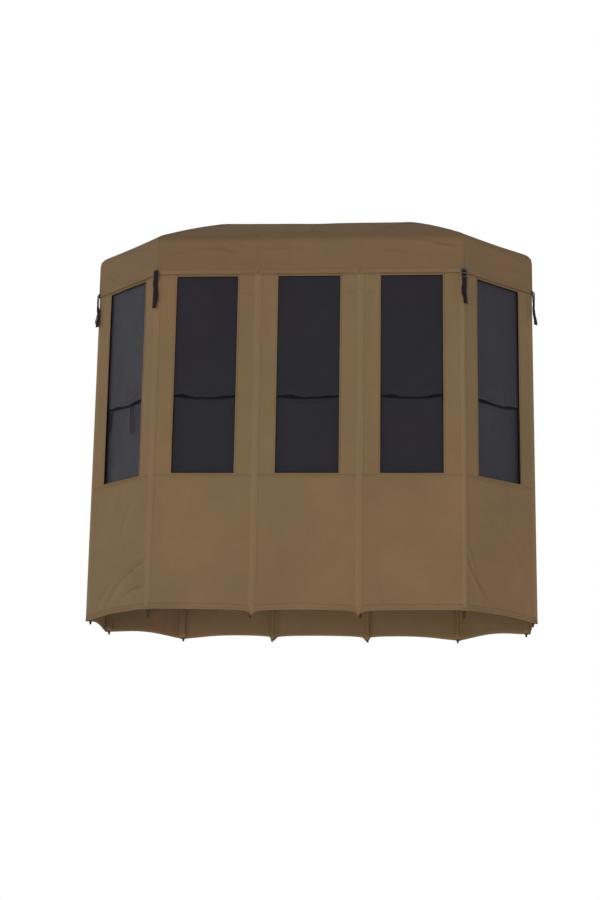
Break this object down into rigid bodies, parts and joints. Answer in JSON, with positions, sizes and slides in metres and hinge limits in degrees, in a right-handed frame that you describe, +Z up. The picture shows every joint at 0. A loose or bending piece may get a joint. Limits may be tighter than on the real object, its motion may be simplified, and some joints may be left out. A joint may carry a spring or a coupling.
{
  "type": "pop up ground blind",
  "caption": "Free-standing fabric field blind on a folding pole frame, with a hipped roof cap, tall shaded windows and a zipped rear door.",
  "frame": {"origin": "on the ground under the middle of the plan", "axes": "+X along the ridge, -Y towards the front windows, +Z up"},
  "size_m": [2.4686, 1.3686, 2.3889],
  "materials": {
    "shell_cloth": "matte",
    "shade_cloth": "matte",
    "leg_pole": "satin",
    "rib_rod": "satin",
    "hub_plastic": "matte",
    "ridge_metal": "satin",
    "webbing": "matte",
    "buckle_plastic": "satin",
    "zip_metal": "satin"
  },
  "bodies": {
    "leg_front_left_corner": {"leg_front_left_corner": "leg_pole", "wall_front_left": "shell_cloth"},
    "leg_front_left_inner": {"leg_front_left_inner": "leg_pole", "wall_front_middle": "shell_cloth"},
    "leg_front_right_inner": {"leg_front_right_inner": "leg_pole", "wall_front_right": "shell_cloth"},
    "leg_front_right_corner": {"leg_front_right_corner": "leg_pole", "wall_right_front_angle": "shell_cloth"},
    "leg_side_right_front": {"leg_side_right_front": "leg_pole", "wall_right_side": "shell_cloth"},
    "leg_side_right_rear": {"leg_side_right_rear": "leg_pole", "wall_right_rear_angle": "shell_cloth"},
    "leg_rear_right_corner": {"leg_rear_right_corner": "leg_pole", "wall_rear_right": "shell_cloth"},
    "leg_rear_right_inner": {"leg_rear_right_inner": "leg_pole", "wall_rear_middle": "shell_cloth"},
    "leg_rear_left_inner": {"leg_rear_left_inner": "leg_pole", "wall_rear_left": "shell_cloth"},
    "leg_rear_left_corner": {"leg_rear_left_corner": "leg_pole", "wall_left_rear_angle": "shell_cloth"},
    "leg_side_left_rear": {"leg_side_left_rear": "leg_pole", "wall_left_side": "shell_cloth"},
    "leg_side_left_front": {"leg_side_left_front": "leg_pole", "wall_left_front_angle": "shell_cloth"},
    "rib_front_left_corner": {"rib_front_left_corner": "rib_rod"},
    "rib_front_left_inner": {"rib_front_left_inner": "rib_rod"},
    "rib_front_right_inner": {"rib_front_right_inner": "rib_rod"},
    "rib_front_right_corner": {"rib_front_right_corner": "rib_rod"},
    "rib_side_right_front": {"rib_side_right_front": "rib_rod"},
    "rib_side_right_rear": {"rib_side_right_rear": "rib_rod"},
    "rib_rear_right_corner": {"rib_rear_right_corner": "rib_rod"},
    "rib_rear_right_inner": {"rib_rear_right_inner": "rib_rod"},
    "rib_rear_left_inner": {"rib_rear_left_inner": "rib_rod"},
    "rib_rear_left_corner": {"rib_rear_left_corner": "rib_rod"},
    "rib_side_left_rear": {"rib_side_left_rear": "rib_rod"},
    "rib_side_left_front": {"rib_side_left_front": "rib_rod"},
    "hub_left": {"hub_left": "hub_plastic", "ridge_outer_tube": "ridge_metal", "roof_cap": "shell_cloth", "corner_straps": "webbing", "strap_buckles": "buckle_plastic"},
    "ridge_middle": {"ridge_middle_tube": "ridge_metal"},
    "hub_right": {"hub_right": "hub_plastic", "ridge_inner_rod": "ridge_metal"},
    "shade_front_left_upper": {"shade_front_left_upper": "shade_cloth"},
    "shade_front_left_lower": {"shade_front_left_lower": "shade_cloth"},
    "shade_front_middle_upper": {"shade_front_middle_upper": "shade_cloth"},
    "shade_front_middle_lower": {"shade_front_middle_lower": "shade_cloth"},
    "shade_front_right_upper": {"shade_front_right_upper": "shade_cloth"},
    "shade_front_right_lower": {"shade_front_right_lower": "shade_cloth"},
    "shade_right_front_angle_upper": {"shade_right_front_angle_upper": "shade_cloth"},
    "shade_right_front_angle_lower": {"shade_right_front_angle_lower": "shade_cloth"},
    "shade_right_side_upper": {"shade_right_side_upper": "shade_cloth"},
    "shade_right_side_lower": {"shade_right_side_lower": "shade_cloth"},
    "shade_left_side_upper": {"shade_left_side_upper": "shade_cloth"},
    "shade_left_side_lower": {"shade_left_side_lower": "shade_cloth"},
    "shade_left_front_angle_upper": {"shade_left_front_angle_upper": "shade_cloth"},
    "shade_left_front_angle_lower": {"shade_left_front_angle_lower": "shade_cloth"},
    "door": {"door_flap": "shell_cloth"},
    "zip_slider": {"door_zip_slider": "zip_metal"}
  },
  "joints": [
    {"name": "fold", "type": "hinge", "parent": "leg_front_left_inner", "child": "rib_front_left_inner", "pos_m": [-0.29375, -0.61864, 2.05868], "axis": [-0.9239, -0.3827, 0], "range_deg": [0, 106.87], "deforming": ["wall_front_left", "wall_front_middle", "wall_front_right", "wall_right_front_angle", "wall_right_side", "wall_right_rear_angle", "wall_rear_right", "wall_rear_middle", "wall_rear_left", "wall_left_rear_angle", "wall_left_side", "wall_left_front_angle", "roof_cap", "corner_straps", "strap_buckles", "door_flap", "door_zip_slider", "shade_front_left_upper", "shade_front_left_lower", "shade_front_middle_upper", "shade_front_middle_lower", "shade_front_right_upper", "shade_front_right_lower", "shade_right_front_angle_upper", "shade_right_front_angle_lower", "shade_right_side_upper", "shade_right_side_lower", "shade_left_side_upper", "shade_left_side_lower", "shade_left_front_angle_upper", "shade_left_front_angle_lower"]},
    {"name": "hub_left_turn", "type": "hinge", "parent": "rib_front_left_inner", "child": "hub_left", "pos_m": [-0.53278, -0.04158, 2.33509], "axis": [-0.9239, -0.3827, 0], "range_deg": [-107.37, 0.5]},
    {"name": "rib_front_left_corner_swing", "type": "hinge", "parent": "hub_left", "child": "rib_front_left_corner", "pos_m": [-0.56722, -0.04158, 2.33509], "axis": [-0.9239, 0.3827, 0], "range_deg": [-0.5, 107.37]},
    {"name": "leg_front_left_corner_swing", "type": "hinge", "parent": "rib_front_left_corner", "child": "leg_front_left_corner", "pos_m": [-0.80625, -0.61864, 2.05868], "axis": [-0.9239, 0.3827, 0], "range_deg": [-107.37, 0.5]},
    {"name": "rib_rear_left_inner_swing", "type": "hinge", "parent": "hub_left", "child": "rib_rear_left_inner", "pos_m": [-0.53278, 0.04158, 2.33509], "axis": [0.9239, -0.3827, 0], "range_deg": [-0.5, 107.37]},
    {"name": "leg_rear_left_inner_swing", "type": "hinge", "parent": "rib_rear_left_inner", "child": "leg_rear_left_inner", "pos_m": [-0.29375, 0.61864, 2.05868], "axis": [0.9239, -0.3827, 0], "range_deg": [-107.37, 0.5]},
    {"name": "rib_rear_left_corner_swing", "type": "hinge", "parent": "hub_left", "child": "rib_rear_left_corner", "pos_m": [-0.56722, 0.04158, 2.33509], "axis": [0.9239, 0.3827, 0], "range_deg": [-0.5, 107.37]},
    {"name": "leg_rear_left_corner_swing", "type": "hinge", "parent": "rib_rear_left_corner", "child": "leg_rear_left_corner", "pos_m": [-0.80625, 0.61864, 2.05868], "axis": [0.9239, 0.3827, 0], "range_deg": [-107.37, 0.5]},
    {"name": "rib_side_left_rear_swing", "type": "hinge", "parent": "hub_left", "child": "rib_side_left_rear", "pos_m": [-0.59157, 0.01722, 2.33509], "axis": [0.3827, 0.9239, 0], "range_deg": [-0.5, 107.37]},
    {"name": "leg_side_left_rear_swing", "type": "hinge", "parent": "rib_side_left_rear", "child": "leg_side_left_rear", "pos_m": [-1.16864, 0.25625, 2.05868], "axis": [0.3827, 0.9239, 0], "range_deg": [-107.37, 0.5]},
    {"name": "rib_side_left_front_swing", "type": "hinge", "parent": "hub_left", "child": "rib_side_left_front", "pos_m": [-0.59157, -0.01722, 2.33509], "axis": [-0.3827, 0.9239, 0], "range_deg": [-0.5, 107.37]},
    {"name": "leg_side_left_front_swing", "type": "hinge", "parent": "rib_side_left_front", "child": "leg_side_left_front", "pos_m": [-1.16864, -0.25625, 2.05868], "axis": [-0.3827, 0.9239, 0], "range_deg": [-107.37, 0.5]},
    {"name": "ridge_middle_slide", "type": "slide", "parent": "hub_left", "child": "ridge_middle", "axis": [-1, 0, 0], "range_m": [-0.002, 0.302]},
    {"name": "ridge_inner_slide", "type": "slide", "parent": "ridge_middle", "child": "hub_right", "axis": [-1, 0, 0], "range_m": [-0.002, 0.292]},
    {"name": "rib_front_right_inner_swing", "type": "hinge", "parent": "hub_right", "child": "rib_front_right_inner", "pos_m": [0.53278, -0.04158, 2.33509], "axis": [-0.9239, 0.3827, 0], "range_deg": [-0.5, 107.37]},
    {"name": "leg_front_right_inner_swing", "type": "hinge", "parent": "rib_front_right_inner", "child": "leg_front_right_inner", "pos_m": [0.29375, -0.61864, 2.05868], "axis": [-0.9239, 0.3827, 0], "range_deg": [-107.37, 0.5]},
    {"name": "rib_front_right_corner_swing", "type": "hinge", "parent": "hub_right", "child": "rib_front_right_corner", "pos_m": [0.56722, -0.04158, 2.33509], "axis": [-0.9239, -0.3827, 0], "range_deg": [-0.5, 107.37]},
    {"name": "leg_front_right_corner_swing", "type": "hinge", "parent": "rib_front_right_corner", "child": "leg_front_right_corner", "pos_m": [0.80625, -0.61864, 2.05868], "axis": [-0.9239, -0.3827, 0], "range_deg": [-107.37, 0.5]},
    {"name": "rib_side_right_front_swing", "type": "hinge", "parent": "hub_right", "child": "rib_side_right_front", "pos_m": [0.59157, -0.01722, 2.33509], "axis": [-0.3827, -0.9239, 0], "range_deg": [-0.5, 107.37]},
    {"name": "leg_side_right_front_swing", "type": "hinge", "parent": "rib_side_right_front", "child": "leg_side_right_front", "pos_m": [1.16864, -0.25625, 2.05868], "axis": [-0.3827, -0.9239, 0], "range_deg": [-107.37, 0.5]},
    {"name": "rib_side_right_rear_swing", "type": "hinge", "parent": "hub_right", "child": "rib_side_right_rear", "pos_m": [0.59157, 0.01722, 2.33509], "axis": [0.3827, -0.9239, 0], "range_deg": [-0.5, 107.37]},
    {"name": "leg_side_right_rear_swing", "type": "hinge", "parent": "rib_side_right_rear", "child": "leg_side_right_rear", "pos_m": [1.16864, 0.25625, 2.05868], "axis": [0.3827, -0.9239, 0], "range_deg": [-107.37, 0.5]},
    {"name": "rib_rear_right_corner_swing", "type": "hinge", "parent": "hub_right", "child": "rib_rear_right_corner", "pos_m": [0.56722, 0.04158, 2.33509], "axis": [0.9239, -0.3827, 0], "range_deg": [-0.5, 107.37]},
    {"name": "leg_rear_right_corner_swing", "type": "hinge", "parent": "rib_rear_right_corner", "child": "leg_rear_right_corner", "pos_m": [0.80625, 0.61864, 2.05868], "axis": [0.9239, -0.3827, 0], "range_deg": [-107.37, 0.5]},
    {"name": "rib_rear_right_inner_swing", "type": "hinge", "parent": "hub_right", "child": "rib_rear_right_inner", "pos_m": [0.53278, 0.04158, 2.33509], "axis": [0.9239, 0.3827, 0], "range_deg": [-0.5, 107.37]},
    {"name": "leg_rear_right_inner_swing", "type": "hinge", "parent": "rib_rear_right_inner", "child": "leg_rear_right_inner", "pos_m": [0.29375, 0.61864, 2.05868], "axis": [0.9239, 0.3827, 0], "range_deg": [-107.37, 0.5]},
    {"name": "shade_front_left_upper_slide", "type": "slide", "parent": "leg_front_left_corner", "child": "shade_front_left_upper", "axis": [0, 0, -1], "range_m": [0, 0.6]},
    {"name": "shade_front_left_lower_slide", "type": "slide", "parent": "leg_front_left_corner", "child": "shade_front_left_lower", "axis": [0, 0, -1], "range_m": [0, 0.42]},
    {"name": "shade_front_middle_upper_slide", "type": "slide", "parent": "leg_front_left_inner", "child": "shade_front_middle_upper", "axis": [0, 0, -1], "range_m": [0, 0.6]},
    {"name": "shade_front_middle_lower_slide", "type": "slide", "parent": "leg_front_left_inner", "child": "shade_front_middle_lower", "axis": [0, 0, -1], "range_m": [0, 0.42]},
    {"name": "shade_front_right_upper_slide", "type": "slide", "parent": "leg_front_right_inner", "child": "shade_front_right_upper", "axis": [0, 0, -1], "range_m": [0, 0.6]},
    {"name": "shade_front_right_lower_slide", "type": "slide", "parent": "leg_front_right_inner", "child": "shade_front_right_lower", "axis": [0, 0, -1], "range_m": [0, 0.42]},
    {"name": "shade_right_front_angle_upper_slide", "type": "slide", "parent": "leg_front_right_corner", "child": "shade_right_front_angle_upper", "axis": [0, 0, -1], "range_m": [0, 0.6]},
    {"name": "shade_right_front_angle_lower_slide", "type": "slide", "parent": "leg_front_right_corner", "child": "shade_right_front_angle_lower", "axis": [0, 0, -1], "range_m": [0, 0.42]},
    {"name": "shade_right_side_upper_slide", "type": "slide", "parent": "leg_side_right_front", "child": "shade_right_side_upper", "axis": [0, 0, -1], "range_m": [0, 0.6]},
    {"name": "shade_right_side_lower_slide", "type": "slide", "parent": "leg_side_right_front", "child": "shade_right_side_lower", "axis": [0, 0, -1], "range_m": [0, 0.42]},
    {"name": "shade_left_side_upper_slide", "type": "slide", "parent": "leg_side_left_rear", "child": "shade_left_side_upper", "axis": [0, 0, -1], "range_m": [0, 0.6]},
    {"name": "shade_left_side_lower_slide", "type": "slide", "parent": "leg_side_left_rear", "child": "shade_left_side_lower", "axis": [0, 0, -1], "range_m": [0, 0.42]},
    {"name": "shade_left_front_angle_upper_slide", "type": "slide", "parent": "leg_side_left_front", "child": "shade_left_front_angle_upper", "axis": [0, 0, -1], "range_m": [0, 0.6]},
    {"name": "shade_left_front_angle_lower_slide", "type": "slide", "parent": "leg_side_left_front", "child": "shade_left_front_angle_lower", "axis": [0, 0, -1], "range_m": [0, 0.42]},
    {"name": "door_swing", "type": "hinge", "parent": "leg_rear_right_inner", "child": "door", "pos_m": [0.235, 0.66791, 0.2], "axis": [0, 0, -1], "range_deg": [0, 120]},
    {"name": "door_zip_slide", "type": "slide", "parent": "leg_rear_right_inner", "child": "zip_slider", "axis": [0, 0, -1], "range_m": [0, 1.56]}
  ],
  "couplings": [
    {"joint": "hub_left_turn", "follows": "fold", "ratio": -1},
    {"joint": "rib_front_left_corner_swing", "follows": "fold", "ratio": 1},
    {"joint": "leg_front_left_corner_swing", "follows": "fold", "ratio": -1},
    {"joint": "rib_rear_left_inner_swing", "follows": "fold", "ratio": 1},
    {"joint": "leg_rear_left_inner_swing", "follows": "fold", "ratio": -1},
    {"joint": "rib_rear_left_corner_swing", "follows": "fold", "ratio": 1},
    {"joint": "leg_rear_left_corner_swing", "follows": "fold", "ratio": -1},
    {"joint": "rib_side_left_rear_swing", "follows": "fold", "ratio": 1},
    {"joint": "leg_side_left_rear_swing", "follows": "fold", "ratio": -1},
    {"joint": "rib_side_left_front_swing", "follows": "fold", "ratio": 1},
    {"joint": "leg_side_left_front_swing", "follows": "fold", "ratio": -1},
    {"joint": "ridge_middle_slide", "follows": "fold", "m_per_rad": 0.16084},
    {"joint": "ridge_inner_slide", "follows": "fold", "m_per_rad": 0.15548},
    {"joint": "rib_front_right_inner_swing", "follows": "fold", "ratio": 1},
    {"joint": "leg_front_right_inner_swing", "follows": "fold", "ratio": -1},
    {"joint": "rib_front_right_corner_swing", "follows": "fold", "ratio": 1},
    {"joint": "leg_front_right_corner_swing", "follows": "fold", "ratio": -1},
    {"joint": "rib_side_right_front_swing", "follows": "fold", "ratio": 1},
    {"joint": "leg_side_right_front_swing", "follows": "fold", "ratio": -1},
    {"joint": "rib_side_right_rear_swing", "follows": "fold", "ratio": 1},
    {"joint": "leg_side_right_rear_swing", "follows": "fold", "ratio": -1},
    {"joint": "rib_rear_right_corner_swing", "follows": "fold", "ratio": 1},
    {"joint": "leg_rear_right_corner_swing", "follows": "fold", "ratio": -1},
    {"joint": "rib_rear_right_inner_swing", "follows": "fold", "ratio": 1},
    {"joint": "leg_rear_right_inner_swing", "follows": "fold", "ratio": -1}
  ]
}
